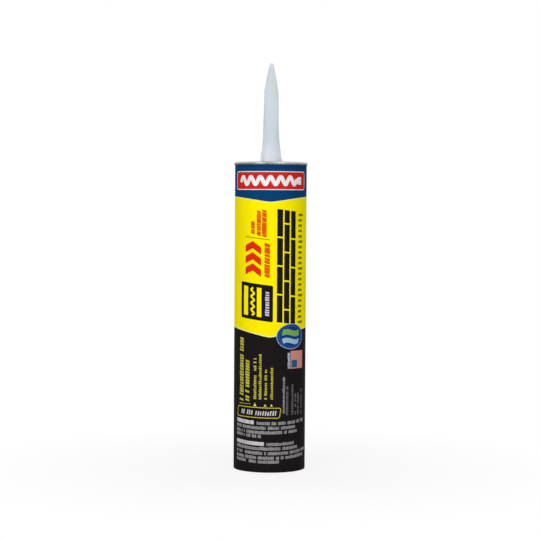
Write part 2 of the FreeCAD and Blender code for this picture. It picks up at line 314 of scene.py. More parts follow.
# %% [markdown]
# ## Flags
#
# In a room that is white all round, polished metal looks like white paint. A studio stands dark
# cards, called flags, beside the set, so that the metal has something dark to show between the
# bright windows, and two narrow bright strips draw the long shine down the nozzle. All of them
# are seen by reflections only, and they take no light from the object.

# %% Flags
FLAGS = {                  # degrees round from and to, foot and head in metres, colour of the light
    "left": (-168, -52, -0.1, 0.262, (0.022, 0.024, 0.030)),
    "centre": (-19, -3, -0.1, 1.0, (0.37, 0.41, 0.47)),
    "right": (50, 168, -0.1, 0.262, (0.12, 0.13, 0.15)),
    "strip_left": (-42, -28, 0.56, 1.05, (6.0, 6.0, 6.0)),
    "strip_right": (26, 40, 0.56, 1.05, (5.0, 5.0, 5.0)),
}
FLAG_DISTANCE, STRIP_DISTANCE = 1.4, 1.35
FLAG_STEP = 5              # degrees of each flat stretch of a curved card


def flag_finish(name, light):
    finish = Finish("flag_" + name)
    return finish.surface(finish.node("Emission", {"Color": (*light, 1)}))


for name, (start, end, foot, head, light) in FLAGS.items():
    distance = STRIP_DISTANCE if "strip" in name else FLAG_DISTANCE
    steps = max(2, (end - start) // FLAG_STEP)
    turns = [start + (end - start) * i / steps for i in range(steps + 1)]
    corners = [around(turn, distance, height) for turn in turns for height in (foot, head)]
    faces = [(2 * i, 2 * i + 2, 2 * i + 3, 2 * i + 1) for i in range(steps)]
    flag = stage_piece("flag_" + name, corners, faces, flag_finish(name, light))
    for kind in ("camera", "diffuse", "transmission", "volume_scatter", "shadow"):
        setattr(flag, "visible_" + kind, False)
print("flags:", ", ".join(FLAGS))

# %% [markdown]
# ## The label: sizes and inks
#
# On the real cartridge the label is one sheet, printed flat in a few inks, varnished, and wrapped
# round the tube with a lap down the back. It could be an image on a cylinder, but a drawing that
# is cut into the mesh stays sharp at any distance and needs no picture. So the label is laid out
# flat first, in millimetres: `u` is the distance round the tube from the front's middle, and `z`
# the height. Each shape is a polygon with an ink, and a later shape covers an earlier one.

# %% Label sizes
barrel = next(mount for mount in frame["record"]["mounts"] if mount["name"] == "barrel")
LABEL_RADIUS = barrel["dims"]["r_mm"]
LABEL_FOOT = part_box("label_black")[0].z / MM
LABEL_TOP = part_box("label_blue")[1].z / MM
LABEL_HEIGHT, LABEL_LENGTH = LABEL_TOP - LABEL_FOOT, 2 * math.pi * LABEL_RADIUS
LABEL_THICKNESS = 0.13
PRINT_RISE = 0.3              # how far above its true place the wrapping machine left the sheet
COLUMNS = 144                 # upright strips in which the sheet bends
LAP_STEP, LAP_RUN = 0.03, 12.0

INKS = {
    "yellow": (255, 238, 4),
    "black": (29, 25, 27),
    "blue": (9, 64, 113),
    "red": (205, 40, 36),
    "white": (236, 236, 236),
    "pale_yellow": (246, 240, 150),
    "orange": (223, 86, 15),
    "scarlet": (226, 44, 22),
    "olive": (192, 184, 66),
    "bright_olive": (226, 222, 84),
    "dark_olive": (92, 84, 10),
    "mid_olive": (128, 118, 12),
    "pale_grey": (205, 202, 203),
    "grey": (148, 144, 146),
    "mid_grey": (134, 130, 134),
    "dark_grey": (98, 95, 98),
    "leaf_green": (122, 168, 84),
    "pale_blue": (158, 188, 212),
    "pale_lilac": (206, 197, 220),
    "ring_blue": (128, 154, 184),
    "mid_blue": (52, 104, 152),
    "badge_blue": (16, 62, 126),
    "soft_red": (212, 140, 132),
    "panel_blue": (40, 90, 134),
    "paper": (214, 206, 188),
}
INK_LIGHT = {name: linear(*colour) for name, colour in INKS.items()}

print("label %.1f mm round, %.1f to %.1f mm high" % (LABEL_LENGTH, LABEL_FOOT, LABEL_TOP))

# %% Flat drawing helpers
drawing = []          # (ink, corners) in the order they are printed
column_places = [LABEL_LENGTH * (i / COLUMNS - 0.5) for i in range(COLUMNS + 1)]


def shape(ink, corners):
    drawing.append((ink, [(float(u), min(float(z) + PRINT_RISE, LABEL_TOP)) for u, z in corners]))


def box(ink, left, foot, width, height):
    shape(ink, [(left, foot), (left + width, foot), (left + width, foot + height),
                (left, foot + height)])


def rounded_box(ink, left, foot, width, height, corner, inset=0.0, steps=6):
    """A box with round corners, drawn smaller by an inset all round."""
    radius = corner - inset
    ends = [(left + inset + radius, foot + inset + radius),
            (left + inset + (width - 2 * inset) - radius, foot + inset + (height - 2 * inset) - radius)]
    points = []
    for turn, (is_right, is_high) in enumerate([(1, 0), (1, 1), (0, 1), (0, 0)]):
        for step in range(steps + 1):
            angle = math.radians(90 * (turn - 1 + step / steps))
            points.append((ends[is_right][0] + radius * math.cos(angle),
                           ends[is_high][1] + radius * math.sin(angle)))
    shape(ink, points)


def oval(ink, centre_u, centre_z, semi_u, semi_z, steps=48):
    shape(ink, [(centre_u + semi_u * math.cos(2 * math.pi * i / steps),
                 centre_z + semi_z * math.sin(2 * math.pi * i / steps)) for i in range(steps)])


def stroke(ink, points, half_width):
    """A round brush drawn along a line of points: a bar for each step and a disc at each point."""
    for start, end in zip(map(Vector, points), map(Vector, points[1:])):
        along = (end - start).normalized() * half_width
        aside = Vector((-along.y, along.x))
        shape(ink, [start + aside, start - aside, end - aside, end + aside])
    for u, z in points:
        oval(ink, u, z, half_width, half_width, steps=14)


# %% [markdown]
# ## Rows of small print
#
# Small print is left as rows of plain blocks, with no letters. A row repeats a block with a
# little chance in its width, its height and its gaps, which is what Geometry Nodes do well:
# a line of points, some deleted for the gaps between words, and a block on each of the rest.
# The seed is an input, so that each row is its own, and the same at every run.

# %% Geometry Nodes helper
class MeshMaker(Graph):
    """A Geometry Nodes tree with named inputs, which turns a mesh into another."""

    def __init__(self, name, inputs):
        super().__init__(bpy.data.node_groups.new(name, "GeometryNodeTree"))
        self.socket("Geometry", "Geometry", in_out="OUTPUT")
        self.socket("Geometry", "Geometry")
        for key, value in inputs.items():
            self.socket(key, "Int" if isinstance(value, int) else "Float").default_value = value
        self.socket("Material", "Material")
        self.given = self.node("NodeGroupInput").outputs

    def socket(self, name, kind, in_out="INPUT"):
        return self.tree.interface.new_socket(name=name, in_out=in_out, socket_type="NodeSocket" + kind)

    def end(self, geometry):
        """The last nodes: the material on the geometry, and the tree's output."""
        dressed = self.first("GeometryNodeSetMaterial",
                             {"Geometry": geometry, "Material": self.given["Material"]})
        self.node("NodeGroupOutput", {0: dressed})

    def make(self, mesh, values):
        """The plain mesh that the tree makes of a mesh, with its inputs set by their identifiers."""
        carrier = new_object(mesh.name, mesh)
        modifier = carrier.modifiers.new(mesh.name, "NODES")
        modifier.node_group = self.tree
        for item in self.tree.interface.items_tree:
            if item.name in values:
                modifier[item.identifier] = values[item.name]
        evaluated = carrier.evaluated_get(bpy.context.evaluated_depsgraph_get())
        made = bpy.data.meshes.new_from_object(evaluated)
        bpy.data.objects.remove(carrier)
        bpy.data.meshes.remove(mesh)
        return made


# %% Print row tree
NARROWEST = 0.7                     # share of a block's full width
WIDTH_SEED, HEIGHT_SEED = 100, 200  # added to a row's seed, so that each draw is its own


def print_row_tree():
    tree = MeshMaker("print_row", {"Count": 20, "Pitch": 1.2, "Height": 2.0, "Gap chance": 0.16,
                                   "Fill": 0.85, "Lowest": 0.7, "Slant": 0.0, "Seed": 0})
    given = tree.given

    def share(low, seed_shift):
        """A random share from low to 1 for each block."""
        seed = tree.math("ADD", given["Seed"], seed_shift)
        return tree.node("FunctionNodeRandomValue", {2: low, 3: 1.0, "Seed": seed},
                         data_type="FLOAT").outputs[1]

    step = tree.first("CombineXYZ", {"X": given["Pitch"]})
    points = tree.first("GeometryNodeMeshLine", {"Count": given["Count"], "Offset": step})
    chance = {"Probability": given["Gap chance"], "Seed": given["Seed"]}
    is_gap = tree.node("FunctionNodeRandomValue", chance, data_type="BOOLEAN").outputs[3]
    words = tree.first("GeometryNodeDeleteGeometry", {"Geometry": points, "Selection": is_gap},
                       domain="POINT")
    square = tree.first("GeometryNodeMeshGrid", {"Vertices X": 2, "Vertices Y": 2})
    cornered = tree.first("GeometryNodeTransform", {"Geometry": square, "Translation": (0.5, 0.5, 0)})
    filled = tree.math("MULTIPLY", given["Pitch"], given["Fill"])
    width = tree.math("MULTIPLY", filled, share(NARROWEST, WIDTH_SEED))
    height = tree.math("MULTIPLY", given["Height"], share(given["Lowest"], HEIGHT_SEED))
    size = tree.first("CombineXYZ", {"X": width, "Y": height})
    blocks = tree.first("GeometryNodeInstanceOnPoints",
                        {"Points": words, "Instance": cornered, "Scale": size})
    real = tree.first("GeometryNodeRealizeInstances", {0: blocks})
    _, rise, _ = tree.node("SeparateXYZ", {0: tree.first("GeometryNodeInputPosition")}).outputs
    lean = tree.first("CombineXYZ", {"X": tree.math("MULTIPLY", rise, given["Slant"])})
    tree.end(tree.first("GeometryNodeSetPosition", {"Geometry": real, "Offset": lean}))
    return tree


# %% Print rows
PRINT_ROW = print_row_tree()


def print_row(length, height, pitch, seed, fill=0.85, gap_chance=0.16, lowest=0.7, slant=0.0):
    """The corners of each block of one row."""
    mesh = PRINT_ROW.make(bpy.data.meshes.new("row"), {
        "Count": int(length // pitch), "Pitch": pitch, "Height": height, "Gap chance": gap_chance,
        "Fill": fill, "Lowest": lowest, "Slant": slant, "Seed": seed})
    blocks = [[mesh.vertices[i].co.to_2d().to_tuple() for i in face.vertices] for face in mesh.polygons]
    bpy.data.meshes.remove(mesh)
    return blocks


def line_across(ink, left, foot, length, height, pitch, seed, rise=lambda u: 0.0, **more):
    """A row that reads round the tube."""
    for block in print_row(length, height, pitch, seed, **more):
        shape(ink, [(left + x, foot + y + rise(left + x)) for x, y in block])


def line_up(ink, left, foot, length, width, pitch, seed, **more):
    """A row that reads up the tube, with its foot line on the right."""
    for block in print_row(length, width, pitch, seed, **more):
        shape(ink, [(left + width - y, foot + x) for x, y in block])


print("print row tree:", len(PRINT_ROW.tree.nodes), "nodes")

# %% [markdown]
# ## The colour fields
#
# Black at the foot, yellow over most of the height, and a blue header. Both edges dip in a
# shallow V at the front and again at the back. A thin pale line parts the colours, as printers
# leave to hide a small misfit between two inks.

# %% Fields
BASE_APEX, BASE_SLOPE = 92.5, 0.245
HEADER_APEX, HEADER_SLOPE = 185.2, 0.16
BASE_KEYLINE, HEADER_KEYLINE = 0.75, 0.6
VEE_ROUND = 2.0               # how far from its lowest point the V is still rounded


def field_above(ink, apex, slope):
    """Everything from a V edge up to the label's top."""
    away = [math.hypot(LABEL_RADIUS * math.sin(u / LABEL_RADIUS), VEE_ROUND) for u in column_places]
    edge = [(u, apex + slope * (side - VEE_ROUND / 2)) for u, side in zip(column_places, away)]
    shape(ink, edge + [(LABEL_LENGTH / 2, LABEL_TOP), (-LABEL_LENGTH / 2, LABEL_TOP)])


box("black", -LABEL_LENGTH / 2, LABEL_FOOT, LABEL_LENGTH, LABEL_HEIGHT)
field_above("pale_yellow", BASE_APEX, BASE_SLOPE)
field_above("yellow", BASE_APEX + BASE_KEYLINE, BASE_SLOPE)
field_above("pale_yellow", HEADER_APEX - HEADER_KEYLINE, HEADER_SLOPE)
field_above("blue", HEADER_APEX, HEADER_SLOPE)
print("fields:", len(drawing))

# %% [markdown]
# ## Signs on the header and the yellow field
#
# The marks say what the goods are for without a word: a bead of adhesive on a red plaque, laid
# boards with staggered ends, chevrons that point the way it leaves, two planks with a bead
# between them, and a scale. All are polygons and strokes of the helpers above.

# %% Header plaque
PLAQUE_MIDDLE = 199.8
PLAQUE_WIDTH, PLAQUE_HEIGHT, PLAQUE_CORNER = 59.2, 12.8, 2.2
PLAQUE_RIM = 0.55
BEAD_LEFT, BEAD_RIGHT = -23.2, 19.2
BEAD_HUMPS, BEAD_SWING, BEAD_HALF = 6, 2.5, 1.4
SPOUT_SHOULDER, SPOUT_LENGTH, SPOUT_HALF = 2.2, 5.4, 2.6     # the small nozzle at the bead's end


def wave(start, end, swing, humps, level, steps_each=10):
    """Points of a wave that runs from start to end about a level."""
    steps = humps * steps_each
    return [(start + (end - start) * i / steps,
             level + swing * math.sin(2 * math.pi * humps * i / steps)) for i in range(steps + 1)]


for ink, inset in (("white", 0.0), ("red", PLAQUE_RIM)):
    rounded_box(ink, -PLAQUE_WIDTH / 2, PLAQUE_MIDDLE - PLAQUE_HEIGHT / 2, PLAQUE_WIDTH, PLAQUE_HEIGHT,
                PLAQUE_CORNER, inset)
stroke("white", wave(BEAD_LEFT, BEAD_RIGHT, BEAD_SWING, BEAD_HUMPS, PLAQUE_MIDDLE), BEAD_HALF)
spout = [(0, BEAD_HALF), (SPOUT_SHOULDER, SPOUT_HALF), (SPOUT_LENGTH, SPOUT_HALF)]
shape("white", [(BEAD_RIGHT + along, PLAQUE_MIDDLE - half) for along, half in spout]
      + [(BEAD_RIGHT + along, PLAQUE_MIDDLE + half) for along, half in reversed(spout)])
print("plaque: %.1f by %.1f mm" % (PLAQUE_WIDTH, PLAQUE_HEIGHT))

# %% Boards and chevrons
BOARDS_LEFT, BOARDS_WIDTH, BOARDS_FOOT = 4.6, 14.4, 103.7
BOARD_STRIPS, BOARD_COUNT, BOARD_LENGTH, BOARD_JOINT = 3, 4, 18.6, 1.0
CHEVRON_LEFT, CHEVRON_WIDTH, CHEVRON_COUNT = -18.7, 12.3, 3
CHEVRON_FOOT, CHEVRON_PITCH, CHEVRON_HEIGHT, CHEVRON_RISE = 133.2, 7.6, 5.0, 3.6
RULE = (-18.8, 159.1, 18.3, 0.45)             # left, foot, width, height
MARK_LEAN = 0.12              # fall of the marks for each millimetre to the right

first_leaning = len(drawing)
board_pitch = BOARD_LENGTH + BOARD_JOINT
boards_top = BOARDS_FOOT + BOARD_COUNT * board_pitch - BOARD_JOINT
strip_width = (BOARDS_WIDTH - (BOARD_STRIPS - 1) * BOARD_JOINT) / BOARD_STRIPS
for strip in range(BOARD_STRIPS):
    left = BOARDS_LEFT + strip * (strip_width + BOARD_JOINT)
    shift = board_pitch / 2 if strip % 2 else 0
    for i in range(BOARD_COUNT + strip % 2):
        low = max(BOARDS_FOOT + i * board_pitch - shift, BOARDS_FOOT)
        high = min(BOARDS_FOOT + i * board_pitch - shift + BOARD_LENGTH, boards_top)
        box("black", left, low, strip_width, high - low)
chevron_middle, chevron_right = CHEVRON_LEFT + CHEVRON_WIDTH / 2, CHEVRON_LEFT + CHEVRON_WIDTH
for i in range(CHEVRON_COUNT):
    foot = CHEVRON_FOOT + i * CHEVRON_PITCH
    head = foot + CHEVRON_HEIGHT
    shape("scarlet", [(CHEVRON_LEFT, foot), (chevron_middle, foot + CHEVRON_RISE), (chevron_right, foot),
                      (chevron_right, head), (chevron_middle, head + CHEVRON_RISE), (CHEVRON_LEFT, head)])
box("dark_olive", *RULE)
print("boards and chevrons:", len(drawing) - first_leaning, "shapes")

# %% Plank panel
PANEL = (-22.6, 103.3, 24.6, 24.9, 1.0)       # left, foot, width, height, corner
PLANK_FOOT, PLANK_LENGTH = 105.7, 20.0
PLANKS = ((-20.0, 3.8), (-9.3, 3.3))          # left and width of each
GLUE_U, GLUE_SWING, GLUE_WAVES, GLUE_HALF, GLUE_INSET = -12.5, 1.1, 4, 0.7, 0.9
PANEL_COLUMN = (-3.5, 105.5, 20.4, 2.9, 1.7, 11)     # left, foot, length, width, pitch, seed

rounded_box("black", *PANEL)
for left, width in PLANKS:
    box("yellow", left, PLANK_FOOT, width, PLANK_LENGTH)
glue = wave(PLANK_FOOT + GLUE_INSET, PLANK_FOOT + PLANK_LENGTH - GLUE_INSET, GLUE_SWING, GLUE_WAVES, 0.0)
stroke("yellow", [(GLUE_U + aside, along) for along, aside in glue], GLUE_HALF)
line_up("pale_lilac", *PANEL_COLUMN, fill=0.8, gap_chance=0.1, lowest=0.85)
print("panel: %.1f by %.1f mm" % PANEL[2:4])

# %% Orange columns
ORANGE_COLUMNS = (            # left, foot, length, width, pitch, seed
    (-4.1, 133.2, 24.0, 3.8, 2.3, 21),
    (-14.2, 161.8, 9.6, 3.0, 1.7, 22),
    (-9.8, 161.0, 17.8, 3.1, 1.7, 23),
    (-6.0, 160.5, 20.2, 3.3, 1.7, 24),
)
for column in ORANGE_COLUMNS:
    line_up("orange", *column, fill=1.08, gap_chance=0.03, lowest=0.92, slant=0.18)
# every mark since the boards leans; the heights stay as given at the front's middle
for number in range(first_leaning, len(drawing)):
    ink, corners = drawing[number]
    drawing[number] = (ink, [(u, z - MARK_LEAN * u) for u, z in corners])
print("leaning marks:", len(drawing) - first_leaning, "shapes")

# %% Scale
SCALE_LEFT, SCALE_FOOT, SCALE_PITCH, SCALE_COUNT = 21.8, 102.0, 3.68, 21
SCALE_LONG, SCALE_SHORT, SCALE_LINE = 5.1, 4.1, 1.7
SCALE_GROUP = 5               # the first mark of each group is long
for i in range(SCALE_COUNT):
    length = SCALE_SHORT if i % SCALE_GROUP else SCALE_LONG
    box("mid_olive", SCALE_LEFT, SCALE_FOOT + i * SCALE_PITCH, length, SCALE_LINE)
print("scale:", SCALE_COUNT, "marks")

# %% [markdown]
# ## Signs on the black field
#
# An oval badge that straddles the two fields, a small panel of plain colours, columns of small
# print with their bullets, a rounded box for the contents, and the rows at the foot.

# %% Badge
BADGE_U, BADGE_Z, BADGE_SEMI_U, BADGE_SEMI_Z = 15.8, 93.2, 11.4, 8.9
BADGE_RING, BADGE_MARKS, MARK_HALF_TURN = 0.65, 28, 0.05
MARK_INNER, MARK_OUTER = 0.77, 0.86           # shares of the badge's half widths
BADGE_SWING = 0.7
BADGE_BANDS = (               # ink, then half width and height of the lower and the upper edge
    ("leaf_green", (7.6, 0.6), (6.6, 4.5)),
    ("pale_blue", (6.3, -4.8), (7.4, -1.5)),
)
oval("ring_blue", BADGE_U, BADGE_Z, BADGE_SEMI_U, BADGE_SEMI_Z)
oval("badge_blue", BADGE_U, BADGE_Z, BADGE_SEMI_U - BADGE_RING, BADGE_SEMI_Z - BADGE_RING)
for i in range(BADGE_MARKS):
    angle = 2 * math.pi * i / BADGE_MARKS
    shape("mid_blue", [(BADGE_U + BADGE_SEMI_U * share * math.cos(angle + turn),
                        BADGE_Z + BADGE_SEMI_Z * share * math.sin(angle + turn))
                       for share, turn in ((MARK_INNER, -MARK_HALF_TURN), (MARK_OUTER, -MARK_HALF_TURN),
                                           (MARK_OUTER, MARK_HALF_TURN), (MARK_INNER, MARK_HALF_TURN))])
for ink, *edges in BADGE_BANDS:
    lower, upper = (wave(BADGE_U - half, BADGE_U + half, BADGE_SWING, 1, BADGE_Z + height)
                    for half, height in edges)
    shape(ink, lower + upper[::-1])
print("badge: %.1f by %.1f mm" % (2 * BADGE_SEMI_U, 2 * BADGE_SEMI_Z))

# %% Colour panel
COLOUR_PANEL = (15.2, 71.0, 12.6, 12.2)              # left, foot, width, height
COLOUR_SQUARE = (16.1, 71.7, 5.2, 5.2)
COLOUR_COLUMN = (12.7, 71.2, 11.6, 2.0, 1.2, 31)     # left, foot, length, width, pitch, seed
box("soft_red", *COLOUR_PANEL)
box("panel_blue", *COLOUR_SQUARE)
line_up("pale_blue", *COLOUR_COLUMN, fill=0.95, gap_chance=0)
print("colour panel: %.1f by %.1f mm" % COLOUR_PANEL[2:])

# %% Columns of small print
BOLD_COLUMNS = (              # left, foot, length, width, pitch, seed
    (-24.1, 48.2, 45.0, 4.1, 1.9, 41),
    (-18.4, 48.4, 29.2, 3.7, 1.9, 42),
)
COLUMN_RULE = (-24.4, 46.6, 10.6, 0.35)               # left, foot, width, height
LIGHT_COLUMNS = ((-11.6, 29.6, 2.3), (-7.7, 31.6, 2.1), (-3.8, 21.2, 2.0), (0.4, 25.8, 2.0))
LIGHT_FOOT, LIGHT_PITCH, LIGHT_SEED = 50.2, 1.3, 143
BULLETS = ((-10.3, 1.2, 2.5), (-3.0, 0.9, 1.8), (1.4, 0.9, 1.8))    # middle, half its base, rise
BULLET_FOOT = 45.3
GREY_FOOT, GREY_WIDTH, GREY_PITCH, GREY_SEED = 39.2, 1.9, 1.25, 51
GREY_COLUMNS = (              # ink, left, length
    ("mid_grey", 9.0, 27.0),
    ("dark_grey", 11.6, 20.4),
    ("dark_grey", 16.0, 21.8),
    ("dark_grey", 18.8, 15.0),
    ("dark_grey", 21.6, 15.4),
    ("dark_grey", 25.4, 19.0),
)
for column in BOLD_COLUMNS:
    line_up("olive", *column, fill=0.86, gap_chance=0.08, lowest=0.86, slant=0.2)
for seed, (left, length, width) in enumerate(LIGHT_COLUMNS, LIGHT_SEED):
    line_up("olive", left, LIGHT_FOOT, length, width, LIGHT_PITCH, seed, fill=0.78, gap_chance=0.14,
            lowest=0.6)
for middle, half, rise in BULLETS:
    shape("bright_olive", [(middle - half, BULLET_FOOT), (middle + half, BULLET_FOOT),
                           (middle, BULLET_FOOT + rise)])
box("olive", *COLUMN_RULE)
for seed, (ink, left, length) in enumerate(GREY_COLUMNS, GREY_SEED):
    line_up(ink, left, GREY_FOOT, length, GREY_WIDTH, GREY_PITCH, seed, fill=0.98, gap_chance=0.08)
print("small print:", len(BOLD_COLUMNS + LIGHT_COLUMNS + GREY_COLUMNS), "columns")

# %% Contents box and the rows at the foot
ROW_SAG = 2.4                 # how far these rows hang in the middle
BOX_LEFT, BOX_FOOT, BOX_WIDTH, BOX_HEIGHT = -27.3, 36.9, 34.4, 7.5
BOX_LEAN, BOX_LINE, BOX_CORNER, BOX_SAG = 1.3, 0.6, 1.7, 0.6
BOX_ROW = (-22.0, 39.0, 27.4, 3.4, 1.7, 61)           # left, foot, length, height, pitch, seed
ROW_LEFT, ROW_HEIGHT, ROW_PITCH, ROW_SEED = -27.5, 2.3, 1.15, 71
BOLD_HEIGHT, BOLD_PITCH, BOLD_GAP, BOLD_SEED_SHIFT = 2.7, 1.5, 1.0, 20
FOOT_ROWS = (                 # foot, where its bold start ends, where the row ends
    (32.5, -9.8, 30.0),
    (29.3, None, 20.0),
    (26.2, None, 22.0),
    (23.5, None, -5.0),
    (18.2, -3.0, 19.0),
    (15.1, None, 22.5),
    (11.9, None, 33.0),
    (8.75, None, 29.0),
    (6.05, None, 8.0),
)


def sag(u):
    """The rise of a row to the sides of the front."""
    return ROW_SAG * (1 - math.cos(u / LABEL_RADIUS))


for ink, inset in (("olive", 0.0), ("black", BOX_LINE)):
    # the box's top is shifted to the right, as italic print is
    rounded_box(ink, BOX_LEFT, BOX_FOOT, BOX_WIDTH, BOX_HEIGHT, BOX_CORNER, inset)
    _, corners = drawing.pop()
    drawing.append((ink, [(u + BOX_LEAN * (z - BOX_FOOT) / BOX_HEIGHT, z + BOX_SAG * sag(u))
                          for u, z in corners]))
line_across("pale_grey", *BOX_ROW, sag, fill=0.62, gap_chance=0.2, lowest=0.75, slant=0.2)
for seed, (foot, bold_end, right) in enumerate(FOOT_ROWS, ROW_SEED):
    left = ROW_LEFT
    if bold_end is not None:
        line_across("pale_grey", left, foot, bold_end - left, BOLD_HEIGHT, BOLD_PITCH,
                    seed + BOLD_SEED_SHIFT, sag, fill=1.08, gap_chance=0.0, lowest=0.9)
        left = bold_end + BOLD_GAP
    line_across("grey", left, foot, right - left, ROW_HEIGHT, ROW_PITCH, seed, sag, fill=0.98,
                gap_chance=0.1, lowest=0.78)
print("foot:", len(FOOT_ROWS), "rows")

# %% [markdown]
# ## The back of the label
#
# A real label carries its directions round the back. Here they are rows of the same plain blocks
# in two panels, one each side of the lap seam, with three small pictures of the work: a bead on
# a board, two boards pressed together, and a nozzle.

# %% Back panels
BACK_RIGHT, BACK_LEFT = 37.0, -72.0           # where each back panel starts
BACK_WIDTH, BACK_STEP, BACK_ROW, BACK_PITCH = 35.0, 3.3, 1.9, 1.35
HEADING_GAP, HEADING_HEIGHT, HEADING_PITCH = 5.0, 2.9, 1.8
LAST_SHARE, RAGGED_STEP, RAGGED_KINDS = 0.55, 0.06, 4        # of the rows' uneven lengths
PARAGRAPHS = (                # left, foot of the heading, its ink and length, ink and rows below, seed
    (BACK_RIGHT, 81.0, "pale_grey", 21.0, "grey", 8, 200),
    (BACK_RIGHT, 45.0, "pale_grey", 16.0, "grey", 9, 220),
    (BACK_LEFT, 81.0, "pale_grey", 21.0, "grey", 8, 300),
    (BACK_LEFT, 45.0, "pale_grey", 16.0, "grey", 9, 320),
    (BACK_RIGHT, 172.5, "black", 25.0, "black", 7, 400),
    (BACK_RIGHT, 138.5, "scarlet", 18.0, "black", 8, 420),
    (BACK_LEFT, 151.0, "black", 19.0, "black", 12, 440),
)


def directions(ink, left, top, rows, seed):
    """Rows of small print below each other, of uneven length, the last one short."""
    for row in range(rows):
        share = 1.0 - RAGGED_STEP * ((row + seed) % RAGGED_KINDS)
        if row == rows - 1:
            share = LAST_SHARE
        line_across(ink, left, top - row * BACK_STEP, share * BACK_WIDTH, BACK_ROW, BACK_PITCH,
                    seed + row, fill=0.98, gap_chance=0.15, lowest=0.75)


for left, foot, heading_ink, length, ink, rows, seed in PARAGRAPHS:
    line_across(heading_ink, left, foot, length, HEADING_HEIGHT, HEADING_PITCH, seed, fill=1.0,
                gap_chance=0.05, lowest=0.9)
    directions(ink, left, foot - HEADING_GAP, rows, seed + 1)
print("back:", len(PARAGRAPHS), "paragraphs")

# %% Pictures of the work
PICTURE_WIDTH, PICTURE_HEIGHT, PICTURE_PITCH, PICTURE_FOOT = 10.4, 12.6, 12.3, 160.0
PICTURE_CORNER = 1.4
BOARD_INSET, BOARD_WIDTH = 1.6, 7.2           # of the boards in the pictures
BOARD_FOOT, THICK_BOARD, THIN_BOARD, UPPER_BOARD = 1.8, 4.0, 3.4, 7.4
SMALL_BEAD = (2.2, 8.2, 0.9, 3, 8.0)          # from and to, swing, waves, height
SMALL_BEAD_HALF = 0.5
SMALL_NOZZLE = ((3.0, BOARD_FOOT), (7.4, BOARD_FOOT), (5.9, 10.8), (4.5, 10.8))

bead_picture, boards_picture, nozzle_picture = (BACK_LEFT + i * PICTURE_PITCH for i in range(3))
for left in (bead_picture, boards_picture, nozzle_picture):
    rounded_box("black", left, PICTURE_FOOT, PICTURE_WIDTH, PICTURE_HEIGHT, PICTURE_CORNER)
box("yellow", bead_picture + BOARD_INSET, PICTURE_FOOT + BOARD_FOOT, BOARD_WIDTH, THICK_BOARD)
start, end, swing, humps, height = SMALL_BEAD
stroke("yellow", wave(bead_picture + start, bead_picture + end, swing, humps, PICTURE_FOOT + height),
       SMALL_BEAD_HALF)
for foot in (BOARD_FOOT, UPPER_BOARD):
    box("yellow", boards_picture + BOARD_INSET, PICTURE_FOOT + foot, BOARD_WIDTH, THIN_BOARD)
shape("yellow", [(nozzle_picture + across, PICTURE_FOOT + up) for across, up in SMALL_NOZZLE])
print("drawing:", len(drawing), "shapes")

# %% [markdown]
# ## Cutting the drawing into the sheet
#
# A constrained triangulation takes every outline, and upright lines about a millimetre apart
# that let the sheet bend, and cuts the flat sheet along all of them at once. The last shape
# printed over a triangle's middle gives its ink. Then each corner moves from the flat to the
# cylinder, with a small step down in radius where one end of the sheet goes under the other.

# %% Cut the sheet
CUT_PRECISION = 1e-4


def cut_sheet():
    """The flat sheet's corners and triangles, cut along every outline and every bend line."""
    points, edges = [], []
    for _, corners in drawing:
        first, count = len(points), len(corners)
        points += [Vector(corner) for corner in corners]
        edges += [(first + i, first + (i + 1) % count) for i in range(count)]
    for place in column_places:
        edges.append((len(points), len(points) + 1))
        points += [Vector((place, LABEL_FOOT)), Vector((place, LABEL_TOP))]
    corners, _, triangles, *_ = delaunay_2d_cdt(points, edges, [], 0, CUT_PRECISION)
    return np.array([tuple(corner) for corner in corners]), np.array(triangles)


def ink_of(corners, triangles):
    """For each triangle, the place in the drawing of the last shape that covers its middle."""
    middles = corners[triangles].mean(axis=1)
    ink = np.zeros(len(triangles), int)
    for number, (_, outline) in enumerate(drawing):
        outline = np.array(outline)
        low, high = outline.min(axis=0), outline.max(axis=0)
        near = np.nonzero(((middles > low) & (middles < high)).all(axis=1))[0]
        u, z = middles[near].T
        inside = np.zeros(len(near), bool)
        for (u0, z0), (u1, z1) in zip(outline, np.roll(outline, -1, axis=0)):
            if z0 != z1:
                crosses = (z0 > z) != (z1 > z)
                inside ^= crosses & (u < u0 + (z - z0) * (u1 - u0) / (z1 - z0))
        ink[near[inside]] = number
    return ink


sheet_corners, sheet_triangles = cut_sheet()
sheet_inks = ink_of(sheet_corners, sheet_triangles)
print("cut sheet:", len(sheet_corners), "corners,", len(sheet_triangles), "triangles")

# %% Wrap the sheet
BAKE_TALL = 1.06 * LABEL_HEIGHT               # the bake's side, in millimetres of label
PAPER_LEFT, PAPER_SQUEEZE = 0.74, 0.28        # where the paper back lies in the bake, and how narrow
EDGE_STRIPS = {"foot": 0.955, "head": 0.970, "left": 0.96, "right": 0.98}
EDGE_WIDTH = 0.008
UPRIGHT = 1e-6                                # an edge this near to upright is a side of the sheet


def wrapped(corner, inset=0.0):
    """A corner of the flat sheet on the tube."""
    u, z = corner
    into_lap = max(0.0, (u - (LABEL_LENGTH / 2 - LAP_RUN)) / LAP_RUN)
    radius = LABEL_RADIUS - LAP_STEP * into_lap * into_lap * (3 - 2 * into_lap) - inset
    turn = u / LABEL_RADIUS
    return Vector((radius * math.sin(turn), -radius * math.cos(turn), z)) * MM


def sheet_edges(triangles):
    """The directed sides that only one triangle has: the sheet's own edge."""
    sides = {(a, b) for t in triangles for a, b in zip(t, (t[1], t[2], t[0]))}
    return [(a, b) for a, b in sides if (b, a) not in sides]


def side_of(start, end):
    """Which of the sheet's four sides an edge lies on."""
    if abs(start[0] - end[0]) < UPRIGHT:
        return "left" if start[0] < 0 else "right"
    return "foot" if start[1] < LABEL_TOP / 2 else "head"


